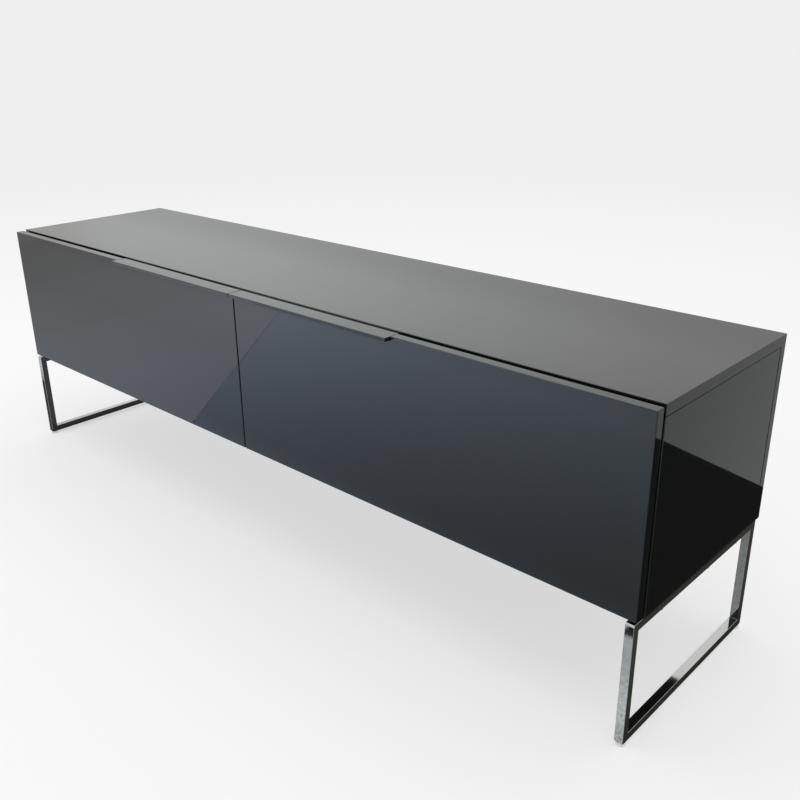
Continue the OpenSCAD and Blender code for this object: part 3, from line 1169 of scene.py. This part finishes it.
@dataclass
class Drawer:
    """One drawer: a lacquered front with its lip handle, and a box on two runners."""

    side: Side
    lip: float = 7 * MM
    front_arris: float = 1.6 * MM
    step_corner: float = 0.3 * MM
    nose: float = 1.0 * MM
    draft: float = 1.0 * MM
    handle_arris: float = 0.3 * MM
    box_arris: float = 0.6 * MM
    buffer_arris: float = 1.6 * MM
    front_screw: Screw = Screw(
        head_radius=3.7 * MM,
        head_depth=2.2 * MM,
        foot_radius=1.8 * MM,
        shank_radius=2.0 * MM,
        recess=Recess.CROSS,
        recess_size=2.4 * MM,
        recess_depth=1.4 * MM,
        sunk=0.2 * MM,
    )
    handle_screw: Screw = Screw(
        head_radius=3.1 * MM,
        head_depth=1.7 * MM,
        foot_radius=1.6 * MM,
        shank_radius=1.75 * MM,
        recess=Recess.CROSS,
        recess_size=2.0 * MM,
        recess_depth=1.2 * MM,
        dome=0.15 * MM,
        pitch=1.3 * MM,
    )
    runner_screw: Screw = Screw(
        head_radius=3.2 * MM,
        head_depth=0.9 * MM,
        foot_radius=3.2 * MM,
        shank_radius=2.0 * MM,
        recess=Recess.CROSS,
        recess_size=2.0 * MM,
        recess_depth=0.8 * MM,
    )

    def build(self, workshop: Workshop) -> None:
        """Makes the drawer's pieces."""
        side = self.side.value
        workshop.make(f"{side}_front", self.front(), f"{side}_drawer_front")
        workshop.make(f"{side}_lip_handle", self.handle(), f"{side}_drawer_handle")
        for board in ("front", "back", "outer_side", "inner_side", "bottom"):
            workshop.ease(f"{side}_drawer_{board}_board", f"{side}_box_{board}", self.box_arris)
        for node, screw in (
            ("front_screws", self.front_screw),
            ("handle_screws", self.handle_screw),
            ("slide_screws", self.runner_screw),
        ):
            name = f"{side}_{node.replace('screws', 'fixings')}"
            workshop.make(name, place_screws(f"{side}_{node}", screw), f"{side}_{node}")
        stops = place_discs(f"{side}_buffers", Axis.Y, self.buffer_arris)
        workshop.make(f"{side}_soft_stops", stops, f"{side}_buffers")

    def front(self) -> Shell:
        """The front is a stepped outline, lower under the handle, carried through its thickness."""
        board = Extent.of(f"{self.side.value}_drawer_front")
        handle = Extent.of(f"{self.side.value}_drawer_handle")
        low, high = board.low, board.high
        step = high[2] - self.lip
        soft, tight = self.front_arris, self.step_corner
        if self.side is Side.RIGHT:
            end = handle.high[0]
            corners = [
                (low[0], low[2]), (high[0], low[2]), (high[0], high[2]),
                (end, high[2]), (end, step), (low[0], step),
            ]
            radii = [soft, soft, soft, soft, tight, soft]
        else:
            end = handle.low[0]
            corners = [
                (low[0], low[2]), (high[0], low[2]), (high[0], step),
                (end, step), (end, high[2]), (low[0], high[2]),
            ]
            radii = [soft, soft, soft, tight, soft, soft]
        outline = rounded_outline(corners, radii, 5)
        shell = bar(outline, board.size[1], self.front_arris, 5)
        return shell.placed(axis_turn(Axis.X, Axis.Z), np.array([0, high[1], 0]))

    def handle(self) -> Shell:
        """The handle is an L section: a lip whose nose leans in, and a flange down behind the front."""
        extent = Extent.of(f"{self.side.value}_drawer_handle")
        front = Extent.of(f"{self.side.value}_drawer_front")
        low, high = extent.low, extent.high
        under = high[2] - self.lip
        back = front.high[1]
        corners = [
            (low[1] + self.draft, under), (back, under), (back, low[2]), (high[1], low[2]),
            (high[1], high[2]), (low[1], high[2]),
        ]
        fine = self.handle_arris
        outline = rounded_outline(corners, [self.nose, fine, fine, fine, self.nose, self.nose], 5)
        shell = bar(outline, extent.size[0], fine, 3)
        return shell.placed(axis_turn(Axis.Y, Axis.Z), np.array([low[0], 0, 0]))


# ---- Studio ----


@dataclass(frozen=True)
class Viewpoint:
    """Where the camera stands and how it is held, in metres and degrees, and its lens in millimetres."""

    place: Place = (1.4003, -1.2295, 1.0208)
    heading: float = -43.215
    tilt: float = -21.979
    roll: float = -0.699
    lens: float = 40.84
    sensor: float = 36.0

    def build(self) -> None:
        """Makes the scene's camera."""
        heading, tilt, roll = (math.radians(part) for part in (self.heading, self.tilt, self.roll))
        ahead = Vector(
            (math.sin(heading) * math.cos(tilt), math.cos(heading) * math.cos(tilt), math.sin(tilt))
        )
        right = ahead.cross(Vector((0, 0, 1))).normalized()
        up = right.cross(ahead)
        rolled_right = right * math.cos(roll) + up * math.sin(roll)
        rolled_up = up * math.cos(roll) - right * math.sin(roll)
        turn = Matrix((rolled_right, rolled_up, -ahead)).transposed()
        camera = bpy.data.objects.new("camera", bpy.data.cameras.new("camera"))
        camera.data.lens = self.lens
        camera.data.sensor_width = self.sensor
        camera.matrix_world = Matrix.Translation(self.place) @ turn.to_4x4()
        bpy.context.scene.collection.objects.link(camera)
        bpy.context.scene.camera = camera


@dataclass
class Studio:
    """A pale floor that turns up into a wall all round, soft lights, and cards for the gloss to mirror.

    card_level is the lowest card's height, and pile_size the size of the carpet's light and dark spots.
    """

    floor_radius: float = 6.0
    wall_bend: float = 3.0
    wall_height: float = 3.6
    bend_steps: int = 24
    round_steps: int = 128
    paper: str = "#a1a1a1"
    paper_glow: float = 0.64
    sky: str = "#eeeeee"
    card_level: float = 5.0 * MM
    pile_size: float = 4.0 * MM

    def build(self) -> None:
        """Makes the stage and the lights."""
        self.world()
        self.floor()
        self.soft_light("top_light", (0.0, 0.2, 3.6), (0, 0, 0), (4.0, 4.0), 50.0)
        self.soft_light("front_light", (-2.6, -3.4, 2.4), (0, 0, 0.3), (2.4, 2.0), 34.0)
        self.cards()

    def world(self) -> None:
        """The sky is an even pale light."""
        world = bpy.data.worlds.new("studio")
        world.use_nodes = True
        world.node_tree.nodes["Background"].inputs["Color"].default_value = linear(self.sky)
        bpy.context.scene.world = world
        bpy.context.scene.view_settings.view_transform = "Standard"

    def floor(self) -> None:
        """The floor is flat and then turns up in a quarter round into a wall."""
        bend = self.floor_radius + self.wall_bend
        profile = [(0.0, 0.0), (self.floor_radius, 0.0)]
        turn = np.linspace(0, math.pi / 2, self.bend_steps)[1:]
        curve = np.stack(
            [
                self.floor_radius + self.wall_bend * np.sin(turn),
                self.wall_bend * (1 - np.cos(turn)),
            ],
            axis=1,
        )
        rings = np.concatenate([np.array(profile), curve, [[bend, self.wall_height]]])
        angle = np.linspace(0, FULL_TURN, self.round_steps, endpoint=False)
        flat = rings[:, None, :1] * np.stack([np.cos(angle), np.sin(angle)], axis=-1)[None]
        level = np.broadcast_to(rings[:, None, 1:], (*flat.shape[:2], 1))
        points = np.concatenate([flat, level], axis=-1).reshape(-1, 3)
        faces = grid_faces(len(rings), len(angle))
        mesh = bpy.data.meshes.new("floor")
        mesh.from_pydata(points.tolist(), [], faces)
        weld = bmesh.new()
        weld.from_mesh(mesh)
        bmesh.ops.remove_doubles(weld, verts=weld.verts, dist=1e-6)
        bmesh.ops.dissolve_degenerate(weld, edges=weld.edges, dist=1e-7)
        weld.to_mesh(mesh)
        weld.free()
        mesh.polygons.foreach_set("use_smooth", np.ones(len(mesh.polygons), bool))
        material, tree = new_material("studio_paper")
        paper = add_node(tree, "ShaderNodeBsdfDiffuse", {"Color": linear(self.paper)})
        glow = add_node(
            tree, "ShaderNodeEmission", {"Color": linear(self.sky), "Strength": self.paper_glow}
        )
        shader = add_node(tree, "ShaderNodeAddShader", {0: paper.outputs[0], 1: glow.outputs[0]})
        finish_surface(tree, shader)
        mesh.materials.append(material)
        floor = bpy.data.objects.new("floor", mesh)
        bpy.context.scene.collection.objects.link(floor)

    def soft_light(
        self,
        name: str,
        place: Place,
        target: Place,
        size: tuple[float, float],
        power: float,
    ) -> None:
        """Makes a rectangular light that faces its target.

        Args:
            name: the light's name.
            place: where it hangs.
            target: the point that it faces.
            size: its width and height.
            power: its power in watts.
        """
        data = bpy.data.lights.new(name, "AREA")
        data.shape = "RECTANGLE"
        data.size, data.size_y = size
        data.energy = power
        light = bpy.data.objects.new(name, data)
        light.location = place
        light.rotation_euler = (Vector(target) - Vector(place)).to_track_quat("-Z", "Y").to_euler()
        bpy.context.scene.collection.objects.link(light)

    def card(
        self, name: str, corners: list[Place], light: bpy.types.Material
    ) -> bpy.types.Object:
        """Makes a flat card that only reflections see.

        Args:
            name: the card's name.
            corners: its four corners.
            light: its material.

        Returns:
            The card.
        """
        mesh = bpy.data.meshes.new(name)
        mesh.from_pydata(corners, [], [[0, 1, 2, 3]])
        mesh.materials.append(light)
        card = bpy.data.objects.new(name, mesh)
        bpy.context.scene.collection.objects.link(card)
        for kind in ("camera", "diffuse", "transmission", "volume_scatter", "shadow"):
            setattr(card, f"visible_{kind}", False)
        return card

    def even_light(self, name: str, colour: str) -> bpy.types.Material:
        """Returns a card's own light, the same all over."""
        material, tree = new_material(name)
        finish_surface(tree, add_node(tree, "ShaderNodeEmission", {"Color": linear(colour)}))
        return material

    def graded_light(
        self,
        name: str,
        along: list[tuple[float, Place]],
        away: Axis,
        steps: list[tuple[float, float]],
        grain: float = 0.0,
    ) -> bpy.types.Material:
        """Makes a card's own light: a colour that changes along X, times a strength that changes away.

        Args:
            name: the material's name.
            along: X in metres and the light's colour there.
            away: the axis of the second change.
            steps: metres along that axis and the strength there.
            grain: how far a woven pile lightens and darkens it, as a share of the strength.

        Returns:
            The material.
        """
        material, tree = new_material(name)
        place = add_node(tree, "ShaderNodeTexCoord").outputs["Object"]
        parts = add_node(tree, "ShaderNodeSeparateXYZ", {0: place}).outputs
        first, last = along[0][0], along[-1][0]
        reach = add_node(
            tree, "ShaderNodeMapRange", {0: parts[0], "From Min": first, "From Max": last}
        )
        colour = add_node(tree, "ShaderNodeValToRGB", {0: reach.outputs[0]})
        ramp_colours(colour, [((x - first) / (last - first), (*light, 1.0)) for x, light in along])
        low, high = steps[0][0], steps[-1][0]
        depth = add_node(
            tree, "ShaderNodeMapRange", {0: parts[away.value], "From Min": low, "From Max": high}
        )
        strength = add_node(tree, "ShaderNodeValToRGB", {0: depth.outputs[0]})
        ramp_colours(strength, [((at - low) / (high - low), (power,) * 3 + (1.0,)) for at, power in steps])
        pile = add_node(
            tree,
            "ShaderNodeTexNoise",
            {"Vector": place, "Scale": 1 / self.pile_size, "Detail": 3.0, "Roughness": 0.7},
        )
        spread = add_node(
            tree,
            "ShaderNodeMapRange",
            {0: pile.outputs[0], "From Min": 0.3, "From Max": 0.7, "To Min": 1 - grain, "To Max": 1 + grain},
        )
        power = add_node(
            tree, "ShaderNodeMath", {0: strength.outputs[0], 1: spread.outputs[0]}, operation="MULTIPLY"
        )
        light = add_node(
            tree, "ShaderNodeEmission", {"Color": colour.outputs[0], "Strength": power.outputs[0]}
        )
        finish_surface(tree, light)
        return material

    def cards(self) -> None:
        """Cards for the gloss and the chrome to mirror: on the floor all round, and behind the dresser."""
        self.front_cards()
        self.side_cards()
        self.near_cards()
        wall = self.graded_light(
            "back_card",
            [
                (-9.0, (0.70, 0.70, 0.70)), (-6.2, (0.80, 0.80, 0.78)), (-5.3, (0.96, 0.97, 0.97)),
                (-4.3, (1.04, 1.06, 1.05)), (-3.3, (1.08, 1.12, 1.10)), (-2.2, (1.08, 1.11, 1.09)),
                (-1.2, (1.02, 1.05, 1.03)), (-0.4, (0.95, 0.95, 0.94)), (2.5, (0.85, 0.85, 0.85)),
            ],
            Axis.Z,
            [(0.0, 0.70), (1.2, 0.72), (1.34, 0.80), (1.48, 0.98), (1.66, 1.07), (3.0, 1.0)],
        )
        left, right, behind, top = -9.0, 2.5, 2.5, 3.0
        corners = [(left, behind, 0.0), (right, behind, 0.0), (right, behind, top), (left, behind, top)]
        self.card("back_card", corners, wall)

    def floor_card(
        self,
        name: str,
        low: tuple[float, float],
        high: tuple[float, float],
        light: bpy.types.Material,
        lifts: int = 1,
    ) -> bpy.types.Object:
        """Makes a rectangular card that lies just above the floor.

        Args:
            name: the card's name.
            low: its low corner, in X and Y.
            high: its high corner, in X and Y.
            light: its material.
            lifts: millimetres above the lowest card.

        Returns:
            The card.
        """
        level = self.card_level + lifts * MM
        corners = [
            (low[0], low[1], level), (high[0], low[1], level),
            (high[0], high[1], level), (low[0], high[1], level),
        ]
        return self.card(name, corners, light)

    def front_cards(self) -> None:
        """The floor in front is a cool daylit one, in two cards that meet along a slanting seam. Both grow
        dimmer from about 1.3 m out towards the dresser, down to 0.6: painted shade of the dresser on that
        floor, seen only in reflections.
        """
        far, near, level = -3.6, -0.215, self.card_level
        seam = [(-0.424, near, level), (-3.007, far, level)]
        right = self.graded_light(
            "front_card",
            [
                (-1.4, (1.04, 1.22, 1.48)), (-0.8, (0.98, 1.18, 1.45)), (-0.3, (0.90, 1.06, 1.30)),
                (0.2, (0.78, 0.92, 1.10)), (0.6, (0.64, 0.78, 0.90)), (0.8, (0.72, 0.76, 0.77)),
                (1.6, (0.55, 0.58, 0.60)),
            ],
            Axis.Y,
            [
                (far, 0.95), (-2.4, 1.25), (-1.32, 1.30), (-0.99, 1.0), (-0.74, 0.75), (-0.56, 0.60),
                (-0.44, 0.75), (-0.30, 1.0), (near, 0.8),
            ],
        )
        self.card("front_card", [seam[1], (1.6, far, level), (1.6, near, level), seam[0]], right)
        left = self.graded_light(
            "window_card",
            [
                (-4.6, (0.80, 0.80, 0.80)), (-3.3, (0.50, 0.50, 0.50)), (-2.6, (0.66, 0.67, 0.68)),
                (-2.2, (0.82, 0.84, 0.86)), (-1.85, (0.92, 0.96, 1.03)), (-1.5, (1.06, 1.16, 1.30)),
                (-1.1, (1.20, 1.32, 1.52)), (-0.4, (1.22, 1.30, 1.50)),
            ],
            Axis.Y,
            [
                (far, 0.95), (-2.4, 1.25), (-1.32, 1.30), (-0.99, 1.0), (-0.74, 0.86), (-0.56, 0.75),
                (near, 0.6),
            ],
        )
        self.card("window_card", [(-4.6, far, level), seam[1], seam[0], (-4.6, near, level)], left)
        half, above = 1.0 * MM, level + MM
        gap = [
            (seam[0][0] - half, near, above), (seam[0][0] + half, near, above),
            (seam[1][0] + half, far, above), (seam[1][0] - half, far, above),
        ]
        self.card("seam_card", gap, self.even_light("seam_card", "#3c3f42"))

    def side_cards(self) -> None:
        """The floor at the right is dark up to a slanting straight edge, and grey beyond it."""
        start, reach, near, back = cad_high[0] - 1.5 * MM, 3.4, -0.25, 3.4
        level = self.card_level
        edge = [(start, 0.719, level), (reach, 1.41, level)]
        dark = self.graded_light(
            "dark_card",
            [
                (start, (0.036, 0.036, 0.029)), (0.96, (0.060, 0.059, 0.047)), (1.033, (0.064, 0.062, 0.052)),
                (1.043, (0.012, 0.012, 0.009)), (reach, (0.008, 0.008, 0.006)),
            ],
            Axis.Y,
            [(near, 1.0), (back, 1.0)],
        )
        self.card("dark_card", [(start, near, level), (reach, near, level), edge[1], edge[0]], dark)
        grey = self.even_light("grey_card", "#b0b3b1")
        self.card("grey_card", [edge[0], edge[1], (reach, back, level), (start, back, level)], grey)

    def near_cards(self) -> None:
        """Cards under the dresser and beside it that the legs mirror, with a fine light and dark mottle.
        Under the dresser they are dim to dark: painted shade of the dresser on the floor, seen only in
        reflections. The left card is dark within 0.4 m of the dresser's end, and a small dark card paints
        shade at the top of the right front post.
        """
        near, front, back = -0.49, -0.215, 0.6
        # The strength falls to about half behind the line of the dresser's front: painted shade under the
        # dresser, seen only in reflections.
        right = self.graded_light(
            "right_carpet_and_painted_shade",
            [(0.745, (0.60, 0.62, 0.63)), (0.90, (0.70, 0.72, 0.72))],
            Axis.Y,
            [
                (near, 0.90), (-0.40, 0.92), (-0.34, 1.0), (-0.29, 1.15), (-0.24, 0.98), (-0.21, 0.80),
                (-0.18, 0.46), (back, 0.50),
            ],
            grain=0.42,
        )
        self.floor_card("right_carpet_and_painted_shade", (0.745, near), (0.8985, back), right)
        # A dark card under the dresser: painted shade that the legs and the gloss mirror, where the glowing
        # floor shows none.
        middle = self.graded_light(
            "under_dresser_painted_shade",
            [(-0.88, (0.035, 0.035, 0.033)), (-0.80, (0.075, 0.075, 0.074)), (0.745, (0.06, 0.06, 0.06))],
            Axis.Y,
            [(front, 1.0), (back, 1.0)],
            grain=0.42,
        )
        self.floor_card("under_dresser_painted_shade", (-0.88, front), (0.745, back), middle)
        left = self.graded_light(
            "left_carpet",
            [
                (-1.75, (0.76, 0.76, 0.76)), (-1.40, (0.76, 0.76, 0.76)), (-1.33, (0.52, 0.52, 0.52)),
                (-1.30, (0.40, 0.40, 0.40)), (-1.28, (0.06, 0.06, 0.06)), (-0.88, (0.09, 0.09, 0.09)),
            ],
            Axis.Y,
            [(near, 1.0), (back, 1.0)],
            grain=0.42,
        )
        self.floor_card("left_carpet", (-1.75, near), (-0.88, back), left)
        # A small dark card that paints a dark patch, painted shade, at the top of the right front post's
        # chrome, seen only in reflections.
        shade = self.even_light("post_top_painted_shade", "#1c1c18")
        self.floor_card("post_top_painted_shade", (0.752, -0.489), (0.79, -0.454), shade, lifts=2)


def main() -> None:
    """Builds the dresser and its studio."""
    logging.basicConfig(level=logging.INFO, format="%(name)s: %(message)s")
    Viewpoint().build()
    Studio().build()
    workshop = Workshop(build_finishes())
    Cabinet().build(workshop)
    for side in Side:
        LegFrame(side).build(workshop)
        Drawer(side).build(workshop)
        for place in ("outer", "inner"):
            Runner(side, place).build(workshop)
    rail_screws = place_screws("rail_screws", Drawer.runner_screw)
    workshop.make("rail_fixings", rail_screws, "rail_screws")
    workshop.dress_rest()


if __name__ == "__main__":
    main()
